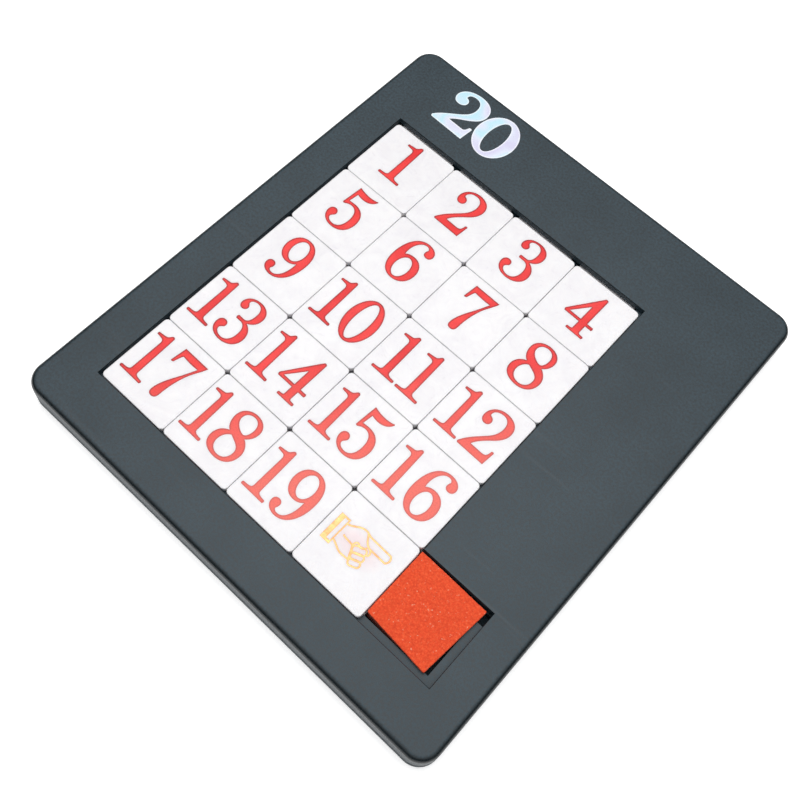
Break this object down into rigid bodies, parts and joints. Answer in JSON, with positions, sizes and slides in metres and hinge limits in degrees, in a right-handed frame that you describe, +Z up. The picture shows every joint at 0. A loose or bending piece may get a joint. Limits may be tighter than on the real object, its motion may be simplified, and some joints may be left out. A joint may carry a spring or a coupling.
{
  "type": "sliding tile puzzle",
  "caption": "Flat sliding number puzzle: white numbered tiles interlocked by tongues and grooves in a dark two-shell tray, with foam wedged in the cell that frees them.",
  "frame": {"origin": "middle of the underside, on the surface it rests on", "axes": "+X along a row from tile 1 to tile 4, +Y from the last row towards the first row and the printed 20 (the longest side), +Z up through the tile faces (the shortest side)"},
  "size_m": [0.1134, 0.1284, 0.0078],
  "materials": {
    "tray_plastic": "matte, fine spark-eroded texture",
    "tile_plastic": "satin white, faintly mottled",
    "red_ink": "hot-stamped red",
    "gold_foil": "hot-stamped gold foil",
    "pearl_foil": "pearly hot-stamped foil",
    "foam": "coarse open-cell foam with pale specks"
  },
  "bodies": {
    "tray": {"top_frame": "tray_plastic", "base_cover": "tray_plastic", "frame_numeral": "pearl_foil"},
    "tile_01": {"tile_01": "tile_plastic", "numeral_01": "red_ink"},
    "tile_02": {"tile_02": "tile_plastic", "numeral_02": "red_ink"},
    "tile_03": {"tile_03": "tile_plastic", "numeral_03": "red_ink"},
    "tile_04": {"tile_04": "tile_plastic", "numeral_04": "red_ink"},
    "tile_05": {"tile_05": "tile_plastic", "numeral_05": "red_ink"},
    "tile_06": {"tile_06": "tile_plastic", "numeral_06": "red_ink"},
    "tile_07": {"tile_07": "tile_plastic", "numeral_07": "red_ink"},
    "tile_08": {"tile_08": "tile_plastic", "numeral_08": "red_ink"},
    "tile_09": {"tile_09": "tile_plastic", "numeral_09": "red_ink"},
    "tile_10": {"tile_10": "tile_plastic", "numeral_10": "red_ink"},
    "tile_11": {"tile_11": "tile_plastic", "numeral_11": "red_ink"},
    "tile_12": {"tile_12": "tile_plastic", "numeral_12": "red_ink"},
    "tile_13": {"tile_13": "tile_plastic", "numeral_13": "red_ink"},
    "tile_14": {"tile_14": "tile_plastic", "numeral_14": "red_ink"},
    "tile_15": {"tile_15": "tile_plastic", "numeral_15": "red_ink"},
    "tile_16": {"tile_16": "tile_plastic", "numeral_16": "red_ink"},
    "tile_17": {"tile_17": "tile_plastic", "numeral_17": "red_ink"},
    "tile_18": {"tile_18": "tile_plastic", "numeral_18": "red_ink"},
    "tile_19": {"tile_19": "tile_plastic", "numeral_19": "red_ink"},
    "tile_hand": {"tile_hand": "tile_plastic", "hand_mark": "gold_foil"},
    "foam": {"foam_block": "foam"}
  },
  "joints": [
    {"name": "tile_01_slide", "type": "slide", "parent": "tray", "child": "tile_01", "axis": [0, 1, 0], "range_m": [0, 0.0011]},
    {"name": "tile_02_slide", "type": "slide", "parent": "tray", "child": "tile_02", "axis": [0, 1, 0], "range_m": [0, 0.0011]},
    {"name": "tile_03_slide", "type": "slide", "parent": "tray", "child": "tile_03", "axis": [0, 1, 0], "range_m": [0, 0.0011]},
    {"name": "tile_04_slide", "type": "slide", "parent": "tray", "child": "tile_04", "axis": [0, 1, 0], "range_m": [0, 0.0011]},
    {"name": "tile_05_slide", "type": "slide", "parent": "tray", "child": "tile_05", "axis": [0, 1, 0], "range_m": [0, 0.0011]},
    {"name": "tile_06_slide", "type": "slide", "parent": "tray", "child": "tile_06", "axis": [0, 1, 0], "range_m": [0, 0.0011]},
    {"name": "tile_07_slide", "type": "slide", "parent": "tray", "child": "tile_07", "axis": [0, 1, 0], "range_m": [0, 0.0011]},
    {"name": "tile_08_slide", "type": "slide", "parent": "tray", "child": "tile_08", "axis": [0, 1, 0], "range_m": [0, 0.0011]},
    {"name": "tile_09_slide", "type": "slide", "parent": "tray", "child": "tile_09", "axis": [0, 1, 0], "range_m": [0, 0.0011]},
    {"name": "tile_10_slide", "type": "slide", "parent": "tray", "child": "tile_10", "axis": [0, 1, 0], "range_m": [0, 0.0011]},
    {"name": "tile_11_slide", "type": "slide", "parent": "tray", "child": "tile_11", "axis": [0, 1, 0], "range_m": [0, 0.0011]},
    {"name": "tile_12_slide", "type": "slide", "parent": "tray", "child": "tile_12", "axis": [0, 1, 0], "range_m": [0, 0.0011]},
    {"name": "tile_13_slide", "type": "slide", "parent": "tray", "child": "tile_13", "axis": [0, 1, 0], "range_m": [0, 0.0011]},
    {"name": "tile_14_slide", "type": "slide", "parent": "tray", "child": "tile_14", "axis": [0, 1, 0], "range_m": [0, 0.0011]},
    {"name": "tile_15_slide", "type": "slide", "parent": "tray", "child": "tile_15", "axis": [0, 1, 0], "range_m": [0, 0.0011]},
    {"name": "tile_16_slide", "type": "slide", "parent": "tray", "child": "tile_16", "axis": [0, 1, 0], "range_m": [0, 0.0011]},
    {"name": "tile_17_slide", "type": "slide", "parent": "tray", "child": "tile_17", "axis": [1, 0, 0], "range_m": [0, 0.0186], "deforming": ["foam_block"]},
    {"name": "tile_18_slide", "type": "slide", "parent": "tray", "child": "tile_18", "axis": [1, 0, 0], "range_m": [0, 0.0186]},
    {"name": "tile_19_slide", "type": "slide", "parent": "tray", "child": "tile_19", "axis": [1, 0, 0], "range_m": [0, 0.0186]},
    {"name": "tile_hand_slide", "type": "slide", "parent": "tray", "child": "tile_hand", "axis": [1, 0, 0], "range_m": [0, 0.0186]},
    {"name": "foam_lift", "type": "slide", "parent": "tray", "child": "foam", "axis": [0, 0, 1], "range_m": [0, 0.012]}
  ],
  "couplings": [
    {"joint": "tile_01_slide", "follows": "tile_13_slide", "ratio": 1},
    {"joint": "tile_05_slide", "follows": "tile_13_slide", "ratio": 1},
    {"joint": "tile_09_slide", "follows": "tile_13_slide", "ratio": 1},
    {"joint": "tile_02_slide", "follows": "tile_14_slide", "ratio": 1},
    {"joint": "tile_06_slide", "follows": "tile_14_slide", "ratio": 1},
    {"joint": "tile_10_slide", "follows": "tile_14_slide", "ratio": 1},
    {"joint": "tile_03_slide", "follows": "tile_15_slide", "ratio": 1},
    {"joint": "tile_07_slide", "follows": "tile_15_slide", "ratio": 1},
    {"joint": "tile_11_slide", "follows": "tile_15_slide", "ratio": 1},
    {"joint": "tile_04_slide", "follows": "tile_16_slide", "ratio": 1},
    {"joint": "tile_08_slide", "follows": "tile_16_slide", "ratio": 1},
    {"joint": "tile_12_slide", "follows": "tile_16_slide", "ratio": 1},
    {"joint": "tile_18_slide", "follows": "tile_17_slide", "ratio": 1},
    {"joint": "tile_19_slide", "follows": "tile_17_slide", "ratio": 1},
    {"joint": "tile_hand_slide", "follows": "tile_17_slide", "ratio": 1}
  ]
}
